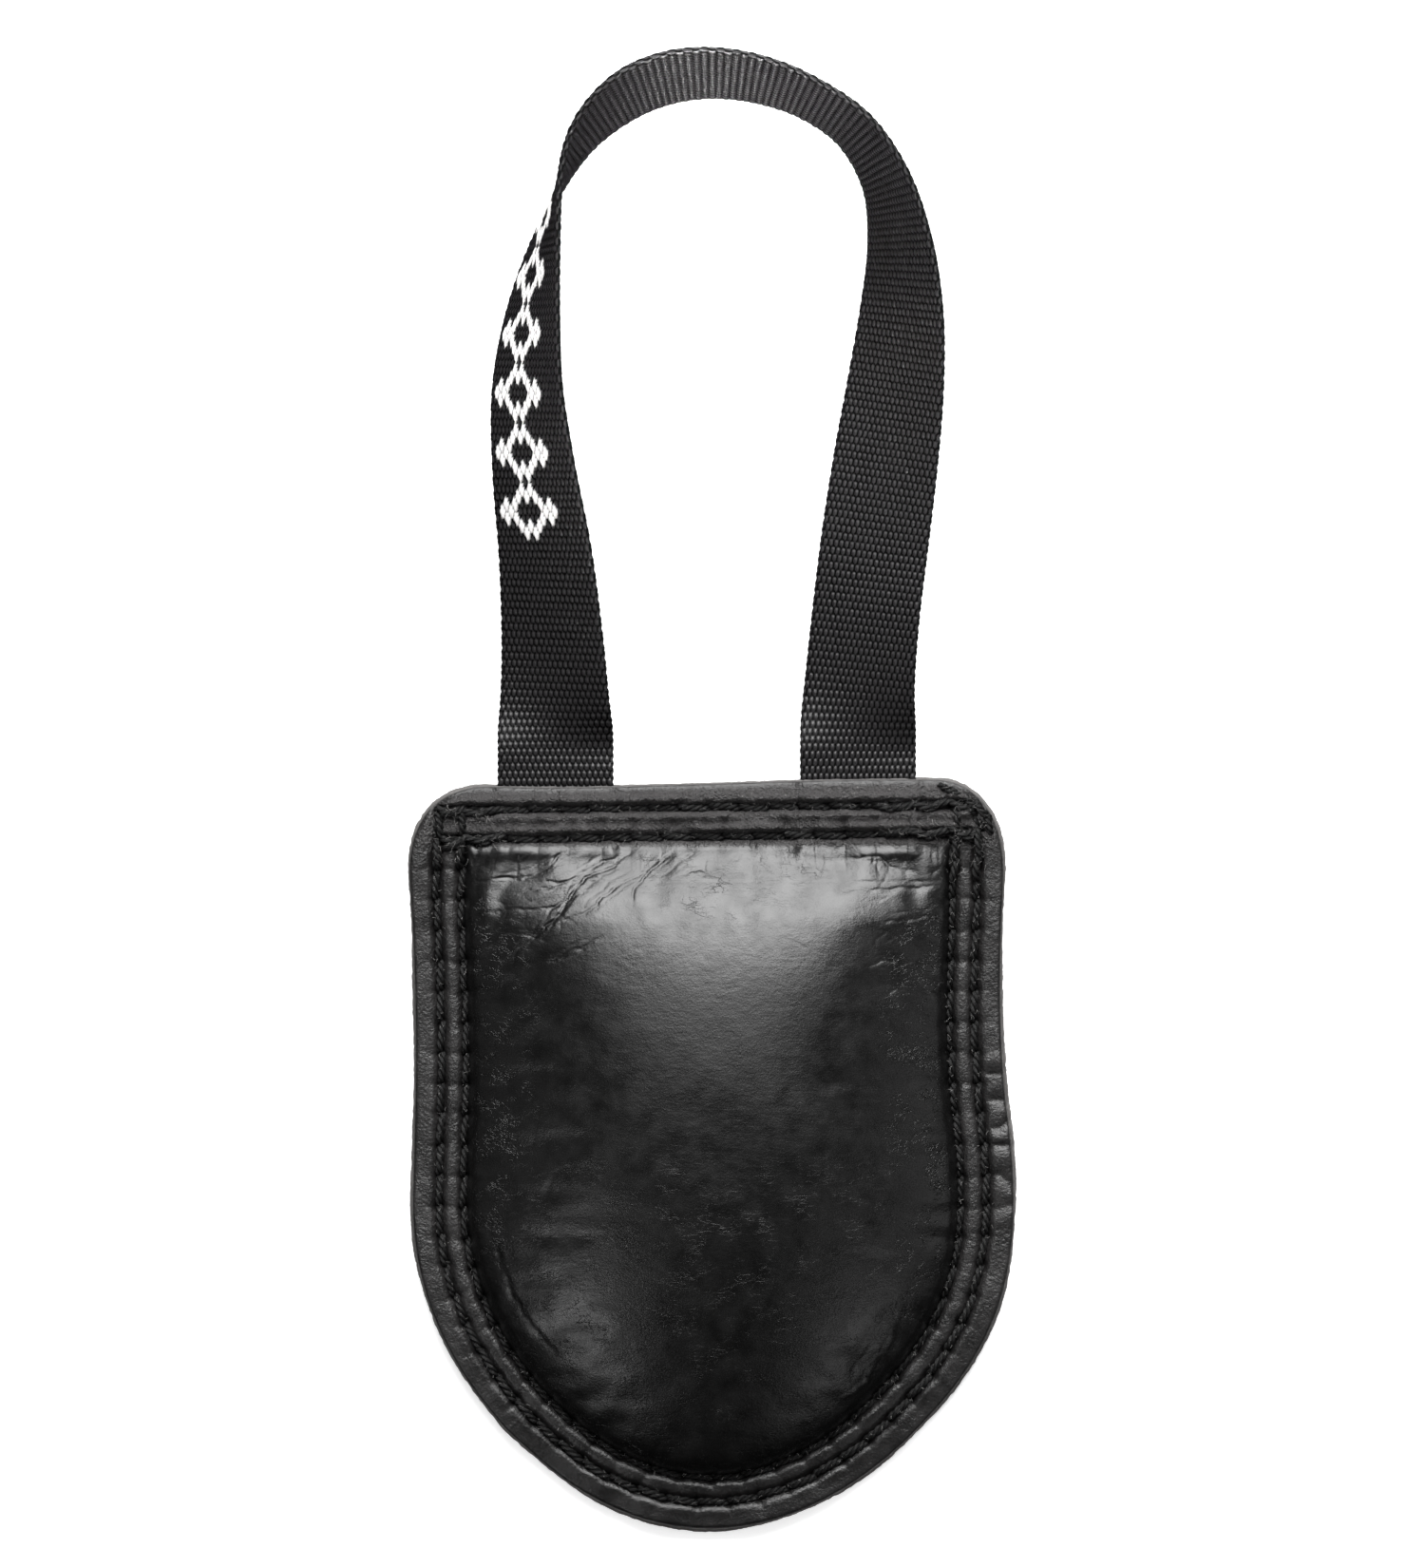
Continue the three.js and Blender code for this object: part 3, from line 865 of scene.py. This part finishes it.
# The strip's route from its left end to its right: x, y and z of its middle, and its roll in degrees.
# 0 lies flat as it leaves the left end, 90 stands on edge, and 180 lies flat on its other face.
LOOP_STATIONS = [
    (-26.8, 79, 4.2, 19),
    (-27.2, 90, 5.9, 29),
    (-28.4, 105, 8.8, 37),
    (-30.4, 120, 11.6, 45),
    (-31.5, 134, 13.2, 53),
    (-30.6, 147, 13, 63),
    (-28.6, 159, 12, 76),
    (-26, 169, 11, 90),
    (-21.8, 178, 10.4, 103),
    (-15.2, 184.5, 10, 111),
    (-7.6, 188, 9.8, 113),
    (1, 189, 9.8, 112),
    (10, 187.6, 9.9, 110),
    (18.4, 184.2, 9.9, 108),
    (26, 178.6, 9.8, 109),
    (31.4, 169.5, 9.7, 113),
    (33.7, 158.5, 9, 123),
    (33.9, 147, 7.9, 135),
    (32.9, 135, 6.7, 145),
    (31.2, 122, 5.9, 153),
    (29.3, 108, 5.2, 157),
    (27.6, 94, 4.9, 157),
    (26.5, 81, 4.1, 162),
]
ACROSS_STEPS = 80
STEPS_PER_PICK = 4
MOTIF_START = 42 * PICK  # along the strip from its left end
MOTIF_REPEATS = 6
MOTIF_LENGTH = 8 * PICK
MOTIF_MIDDLE = -2.0  # across the strip from its middle line
MOTIF_REACH = 6.8  # to either side


def strip_route():
    """The strip's middle line and roll, at even steps that fit the weave."""
    left, right = STRAP_X
    ends_y = [STRAP_END_Y + 1, STRAP_END_Y + 8, HINGE_Y - 3, HINGE_Y + 2]
    start = [(left, y, STRAP_Z, 0) for y in ends_y]
    end = [(right, y, STRAP_Z, 180) for y in ends_y[::-1]]
    line = catmull(start + LOOP_STATIONS + end, 14)
    along = lengths(line[:, :3])
    picks = round(along[-1] / PICK)
    at = np.linspace(0, along[-1], picks * STEPS_PER_PICK + 1)
    return at, points_at(line, along, at)


def lozenge(across, along):
    """The woven motif: a row of lozenges with open middles. True where the float is white."""
    repeat = (along - MOTIF_START) / MOTIF_LENGTH
    within = (repeat > 0) & (repeat < MOTIF_REPEATS)
    reach = np.abs((repeat % 1) - 0.5) * 2 + np.abs(across - MOTIF_MIDDLE) / MOTIF_REACH
    return within & (reach < 0.99) & (reach > 0.42)


def floats(across, along, column, period, length, width):
    """Yarn lying over the cross yarns, in columns with every other column half a step on. Returns the
    height, from 0 to 1, and the middle of the float that each point is on."""
    best = np.zeros(across.shape)
    centre_across, centre_along = across.copy(), along.copy()
    nearest_column = np.round(across / column)
    for shift in (-1, 0, 1):
        k = nearest_column + shift
        offset = np.where(k % 2 == 0, 0, period / 2)
        middle = np.round((along - offset) / period) * period + offset
        reach = ((across - k * column) / (width / 2)) ** 2 + ((along - middle) / (length / 2)) ** 2
        height = np.sqrt(np.clip(1 - reach, 0, 1))
        higher = height > best
        best = np.where(higher, height, best)
        centre_across = np.where(higher, k * column, centre_across)
        centre_along = np.where(higher, middle, centre_along)
    return best, centre_across, centre_along


def weave(across, along, figured):
    """Height of the woven face, how white it is, and how deep it lies between the floats, which the material
    paints as shade.
    """
    wander = 0.05 * noise_at(across * 0.9, along * 0.5, 1.0, 91)
    ground, _, _ = floats(across + wander, along, 0.5, 2 * PICK, 1.45, 0.88)
    height = 0.4 * ground
    white = np.zeros(across.shape)
    if figured:
        figure, at_across, at_along = floats(across, along, 1.0, 2 * PICK, 2.5, 1.1)
        on = lozenge(at_across, at_along) & (figure > 0.05)
        height = np.where(on, 0.12 + 0.4 * figure, height)
        white = np.where(on, smoothstep(0.1, 0.4, figure), 0)
    return height, white, 1 - height / 0.4


def there_and_back(front, back):
    return np.concatenate([front, back[:, ::-1]], axis=1)


def wrist_webbing():
    """One strip of webbing: both woven faces and both selvedges, in one closed skin."""
    at, route = strip_route()
    centre, roll = route[:, :3], np.radians(route[:, 3])
    tangent = unit(np.gradient(centre, axis=0))
    level = unit(np.stack([tangent[:, 1], -tangent[:, 0], 0 * roll], axis=1))
    upright = np.cross(level, tangent)
    across_way = level * np.cos(roll)[:, None] + upright * np.sin(roll)[:, None]
    face_way = np.cross(across_way, tangent)
    u = np.linspace(-WEBBING_WIDTH / 2, WEBBING_WIDTH / 2, ACROSS_STEPS + 1)
    across, along = np.meshgrid(u, at)
    half = WEBBING / 2
    edge = np.clip((np.abs(across) - (WEBBING_WIDTH / 2 - 0.6)) / 0.6, 0, 1)
    body = (half - 0.3) * np.sqrt(1 - 0.8 * edge**2)
    scallop = 0.2 * np.abs(np.sin(np.pi * along / PICK)) * np.sign(across)
    scallop *= smoothstep(9.2, 10, np.abs(across))
    channels = {"skin": [], "white": [], "gap": []}
    for side, figured in ((1, True), (-1, False)):
        height, white, gap = weave(across, along + (0 if side > 0 else PICK), figured)
        out = side * (body + height * (1 - 0.5 * edge))
        plan = (across + scallop)[..., None] * across_way[:, None]
        channels["skin"].append(centre[:, None] + plan + out[..., None] * face_way[:, None])
        channels["white"].append(white)
        channels["gap"].append(gap)
    skin, white, gap = (there_and_back(*pair) for pair in channels.values())
    rows, columns = skin.shape[:2]
    i, j = np.meshgrid(np.arange(rows - 1), np.arange(columns), indexing="ij")
    j2 = (j + 1) % columns
    here, on = i * columns, (i + 1) * columns
    faces = np.stack([here + j, on + j, on + j2, here + j2], axis=-1).reshape(-1, 4).tolist()
    faces.append(list(range(columns)))
    faces.append([(rows - 1) * columns + k for k in range(columns)][::-1])
    flat = np.stack([there_and_back(across, across), there_and_back(along, along)], axis=-1).reshape(-1, 2)
    patches = {"white": white.ravel(), "gap": gap.ravel()}
    return make_piece("wrist_webbing", skin.reshape(-1, 3), faces, patches, uvs=flat)


# ---- Materials ----


class Nodes:
    """A material's nodes, with the few calls that every material here makes. Wherever a source or a value
    is asked for, it may be a plain number or colour, or another node's output."""

    def __init__(self, name):
        self.material = bpy.data.materials.new(name)
        self.material.use_nodes = True
        self.tree = self.material.node_tree
        self.shader = self.tree.nodes["Principled BSDF"]
        self.place = self.add("ShaderNodeTexCoord").outputs["Object"]

    def feed(self, sockets, sources):
        for key, source in sources.items():
            if isinstance(source, bpy.types.NodeSocket):
                self.tree.links.new(source, sockets[key])
            else:
                sockets[key].default_value = source

    def add(self, kind, sources=None, **settings):
        node = self.tree.nodes.new(kind)
        for key, value in settings.items():
            setattr(node, key, value)
        self.feed(node.inputs, sources or {})
        return node

    def shade(self, **sources):
        self.feed(self.shader.inputs, {key.replace("_", " "): source for key, source in sources.items()})

    def noise(self, scale, detail=4, roughness=0.55, at=None):
        sources = {"Scale": scale, "Detail": detail, "Roughness": roughness, "Vector": at or self.place}
        return self.add("ShaderNodeTexNoise", sources).outputs["Fac"]

    def cells(self, scale):
        sources = {"Scale": scale, "Vector": self.place}
        return self.add("ShaderNodeTexVoronoi", sources).outputs["Distance"]

    def attribute(self, name):
        return self.add("ShaderNodeAttribute", attribute_name=name).outputs["Fac"]

    def stretched(self, source, scale):
        return self.add("ShaderNodeMapping", {"Scale": scale, "Vector": source}).outputs["Vector"]

    def ramp(self, source, *stops):
        node = self.add("ShaderNodeValToRGB", {"Fac": source})
        while len(node.color_ramp.elements) < len(stops):
            node.color_ramp.elements.new(0.5)
        for element, (position, colour) in zip(node.color_ramp.elements, stops):
            element.position = position
            element.color = (*colour, 1)
        return node.outputs["Color"]

    def mask(self, source, low, high):
        """0 up to low, and 1 from high on."""
        return self.ramp(source, (low, (0, 0, 0)), (high, (1, 1, 1)))

    def thin_lines(self, source, width):
        """Wandering lines: 1 where the source passes through a half, fading to 0 at this width."""
        return self.ramp(source, (0.5 - width, (0, 0, 0)), (0.5, (1, 1, 1)), (0.5 + width, (0, 0, 0)))

    def between(self, source, low, high, from_low=0.0, from_high=1.0):
        sources = {"From Min": from_low, "From Max": from_high, "To Min": low, "To Max": high}
        return self.add("ShaderNodeMapRange", {"Value": source, **sources}).outputs["Result"]

    def mix(self, share, first, second):
        """One colour to another. Of the node's sockets, 6 and 7 take the colours and 2 gives the result."""
        first, second = (c if isinstance(c, bpy.types.NodeSocket) else (*c, 1) for c in (first, second))
        return self.add("ShaderNodeMix", {0: share, 6: first, 7: second}, data_type="RGBA").outputs[2]

    def sum(self, first, second, amount=1.0):
        sources = {0: second, 1: amount, 2: first}
        return self.add("ShaderNodeMath", sources, operation="MULTIPLY_ADD").outputs[0]

    def product(self, first, second):
        return self.add("ShaderNodeMath", {0: first, 1: second}, operation="MULTIPLY").outputs[0]

    def bump(self, height, millimetres):
        sources = {"Distance": millimetres * MM, "Height": height}
        self.shade(Normal=self.add("ShaderNodeBump", sources).outputs["Normal"])


def leather_material(name, dark, light, roughness, grain):
    """Black leather: fine grain, crackle where it's bent, faint scuffs, and a greyer, rougher cut edge. The
    crumpled top band gets a paler grey and painted glints, and the flange's worn tone fades to painted shade
    at the foot.
    """
    n = Nodes(name)
    raw, crumple = n.attribute("raw"), n.attribute("crumple")
    flange, crackle = n.attribute("flange"), n.attribute("crackle")
    mottle = n.noise(90, 5)
    scuffs = n.mask(n.noise(420, 9, 0.75), 0.66, 0.78)
    # Painted glints: a sparse mask of bright specks, laid on the crumpled top band.
    painted_glints = n.mask(n.noise(1700, 3, 0.6), 0.66, 0.74)
    colour = n.mix(n.between(mottle, 0, 1, 0.3, 0.7), dark, light)
    colour = n.mix(n.product(scuffs, n.between(mottle, 0, 0.3, 0.35, 0.7)), colour, (0.05, 0.048, 0.047))
    wear = n.between(n.noise(260, 6, 0.65), 0, 1, 0.35, 0.65)
    worn = n.mix(wear, (0.004, 0.0037, 0.0037), (0.012, 0.011, 0.011))
    # Painted shade: the flange mask is weaker towards the foot, so there this lighter worn tone gives way to
    # near black.
    colour = n.mix(flange, colour, worn)
    # The crumpled top band's paler grey: partly the crushed leather's own tone, partly painted light on the
    # band nearest the key light.
    colour = n.mix(crumple, colour, (0.036, 0.034, 0.034))
    # Painted glints: bright specks on the crumpled band stand in for the key light glinting off it.
    colour = n.mix(n.product(painted_glints, crumple), colour, (0.16, 0.155, 0.15))
    colour = n.mix(raw, colour, (0.1, 0.096, 0.094))
    n.shade(Base_Color=colour)
    rough = n.between(n.noise(260, 6), roughness - 0.05, roughness + 0.08, 0.3, 0.7)
    n.shade(Roughness=n.sum(n.sum(rough, raw, 0.4), flange, 0.04))
    pebbles = n.between(n.cells(2600), 0.0, 0.5)
    wrinkles = n.noise(1.0, 6, 0.7, at=n.stretched(n.place, (420, 900, 500)))
    long_lines = n.thin_lines(n.noise(1.0, 4, 0.6, at=n.stretched(n.place, (110, 330, 200))), 0.012)
    short_lines = n.thin_lines(n.noise(1.0, 3, 0.6, at=n.stretched(n.place, (420, 560, 400))), 0.016)
    crushed = n.noise(1900, 3, 0.6)
    height = n.sum(n.between(pebbles, 0, 0.5), wrinkles)
    height = n.sum(height, n.product(crushed, n.between(crumple, 0, 14)))
    height = n.sum(height, n.product(crushed, flange), 3.5)
    patches = n.product(crackle, n.mask(n.noise(210, 2), 0.42, 0.6))
    height = n.sum(height, n.product(n.sum(long_lines, short_lines, 0.7), patches), -1.5)
    n.bump(height, grain)
    n.shade(Specular_IOR_Level=0.5)
    return n.material


def thread_material():
    """Bonded thread: fibres running along each ply, slightly waxy."""
    n = Nodes("black_thread")
    uv = n.add("ShaderNodeTexCoord").outputs["UV"]
    fibres = n.noise(1.0, 4, at=n.stretched(uv, (16, 1.4, 1)))
    n.shade(Base_Color=n.ramp(fibres, (0.3, (0.001, 0.001, 0.001)), (0.75, (0.006, 0.0057, 0.0057))))
    n.shade(Roughness=n.between(fibres, 0.4, 0.65))
    n.bump(fibres, 0.25)
    n.shade(Specular_IOR_Level=0.28)
    return n.material


def fuzz_material():
    """Loose fibres, from dark to dusty grey."""
    n = Nodes("thread_fibre")
    n.shade(Base_Color=n.ramp(n.noise(300), (0.4, (0.02, 0.02, 0.02)), (0.62, (0.28, 0.27, 0.26))))
    n.shade(Roughness=0.6, Sheen_Weight=0.5)
    return n.material


def webbing_material():
    """Black nylon yarn with white figure yarn where the motif is, and painted shade in the gaps between the
    floats.
    """
    n = Nodes("woven_webbing")
    uv = n.add("ShaderNodeTexCoord").outputs["UV"]
    filaments = n.noise(1.0, 5, at=n.stretched(uv, (11, 2.2, 1)))
    black = n.ramp(filaments, (0.3, (0.004, 0.0038, 0.0042)), (0.72, (0.018, 0.0165, 0.018)))
    white = n.ramp(filaments, (0.25, (0.5, 0.49, 0.48)), (0.7, (0.9, 0.89, 0.88)))
    # Painted shade: the gaps between the floats are painted near black, where shade falls between the yarns.
    black = n.mix(n.between(n.attribute("gap"), 0, 1, 0.25, 0.8), black, (0.001, 0.001, 0.001))
    n.shade(Base_Color=n.mix(n.attribute("white"), black, white))
    n.shade(Roughness=n.between(filaments, 0.28, 0.42))
    # Painted shade, too: the gaps' reflection is turned down.
    n.shade(Specular_IOR_Level=n.between(n.attribute("gap"), 0.5, 0.05, 0.25, 0.8))
    n.bump(filaments, 0.06)
    return n.material


def foam_material():
    n = Nodes("open_foam")
    pores = n.cells(900)
    n.shade(Base_Color=n.ramp(pores, (0.1, (0.03, 0.03, 0.03)), (0.6, (0.12, 0.12, 0.12))))
    n.bump(pores, 0.3)
    n.shade(Roughness=0.95)
    return n.material


def floor_material():
    n = Nodes("studio_floor")
    n.shade(Base_Color=n.ramp(n.noise(3), (0.2, (0.86, 0.86, 0.86)), (0.8, (0.9, 0.9, 0.9))))
    n.shade(Roughness=0.9, Emission_Color=(1, 1, 1, 1), Emission_Strength=0.6)
    return n.material


# ---- Studio, in metres ----

LOOK_AT = Vector((0.0008, 0.0648, 0.0))
VIEW_HEIGHT = 0.275
CAMERA_DISTANCE = 2.6


def camera():
    data = bpy.data.cameras.new("camera")
    data.sensor_fit = "VERTICAL"
    data.sensor_height = 24
    data.lens = data.sensor_height * CAMERA_DISTANCE / VIEW_HEIGHT
    data.clip_end = 100
    eye = add_object("camera", data)
    eye.location = LOOK_AT + Vector((0, 0, CAMERA_DISTANCE))
    bpy.context.scene.camera = eye


def softbox(name, azimuth, elevation, distance, size, power, aim=(0, 0.02, 0), spread=180):
    """A soft light. Azimuth is counterclockwise from +X, and elevation above the floor, in degrees. A spread
    below 180 degrees is a grid on its front, which keeps its light off what it isn't aimed at."""
    data = bpy.data.lights.new(name, "AREA")
    data.shape = "RECTANGLE"
    data.size, data.size_y = size
    data.energy = power
    data.spread = math.radians(spread)
    light = add_object(name, data)
    a, e = math.radians(azimuth), math.radians(elevation)
    way = Vector((math.cos(a) * math.cos(e), math.sin(a) * math.cos(e), math.sin(e)))
    light.location = Vector(aim) + way * distance
    light.rotation_euler = way.to_track_quat("Z", "Y").to_euler()


def studio():
    """A pale floor that curves up at its far edge, and soft lights."""
    profile = [(0, 0), (3, 0), (4, 0.02), (4.6, 0.12), (5, 0.4), (5.1, 0.9)]
    sides = 96
    turn = np.arange(sides) * 2 * np.pi / sides
    points = [(0, 0, 0)]
    faces = []
    for r, z in profile[1:]:
        points += [(r * math.cos(t), r * math.sin(t), z) for t in turn]
    for k in range(sides):
        k2 = (k + 1) % sides
        faces.append((0, 1 + k, 1 + k2))
        for m in range(len(profile) - 2):
            a, b = 1 + m * sides, 1 + (m + 1) * sides
            faces.append((a + k, b + k, b + k2, a + k2))
    floor = make_piece("floor", np.array(points) / MM, faces)
    floor.data.materials.append(floor_material())
    floor.visible_glossy = False  # so that the black leather doesn't mirror it
    softbox("key", 85, 33.5, 1.2, (0.95, 1.22), 47)
    softbox("upper", 87, 70, 1.2, (0.7, 0.4), 2.0)
    softbox("low_left", 221, 45, 1.2, (0.2, 0.2), 2.1)
    softbox("low_right", 318, 40, 1.2, (0.5, 0.4), 1.3)
    softbox("loop", 270, 40, 0.5, (0.05, 0.05), 0.085, aim=(0.004, 0.184, 0.01), spread=14)
    softbox("side_left", 180, 22, 1.6, (0.5, 0.9), 0.5)
    softbox("side_right", 0, 22, 1.6, (0.5, 0.9), 1.6)
    world = bpy.data.worlds.new("world")
    world.use_nodes = True
    background = world.node_tree.nodes["Background"]
    background.inputs["Color"].default_value = (1, 1, 1, 1)
    background.inputs["Strength"].default_value = 0.015
    bpy.context.scene.world = world
    bpy.context.scene.view_settings.view_transform = "Standard"


# ---- The grip ----


def finish_piece(piece, material, slot, *nodes):
    piece.data.materials.append(material)
    if nodes:
        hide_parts(*nodes)
    return piece


camera()
studio()

front = finish_piece(
    front_leather(),
    leather_material("front_black_leather", (0.0006, 0.0006, 0.0006), (0.0014, 0.0013, 0.0013), 0.34, 0.06),
    "leather",
    "front_panel",
)
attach(front, "pad")

back = finish_piece(
    back_leather(),
    leather_material("back_black_leather", (0.012, 0.011, 0.0112), (0.022, 0.02, 0.02), 0.62, 0.05),
    "back_leather",
    "back_panel",
)
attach(back, "pad")

foam = finish_piece(foam_core(), foam_material(), "foam", "padding")
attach(foam, "pad")

thread = thread_material()
for k, (row_name, row) in enumerate(ROWS.items()):
    for side_name, up in (("needle", 1), ("bobbin", -1)):
        place, which = row_name.split("_")
        stitches = sewn_row(f"{side_name}_stitches_{row_name}", row, 100 + 10 * k + up, up)
        finish_piece(stitches, thread, "thread", f"{side_name}_thread_{place}_{which}")
        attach(stitches, "pad")
tacks = finish_piece(corner_tacks(), thread, "thread")
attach(tacks, "pad")
fuzz = finish_piece(thread_fuzz(), fuzz_material(), "thread")
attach(fuzz, "pad")

webbing = finish_piece(
    wrist_webbing(), webbing_material(), "webbing", "strap_loop", "strap_end_left", "strap_end_right"
)
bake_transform(webbing)
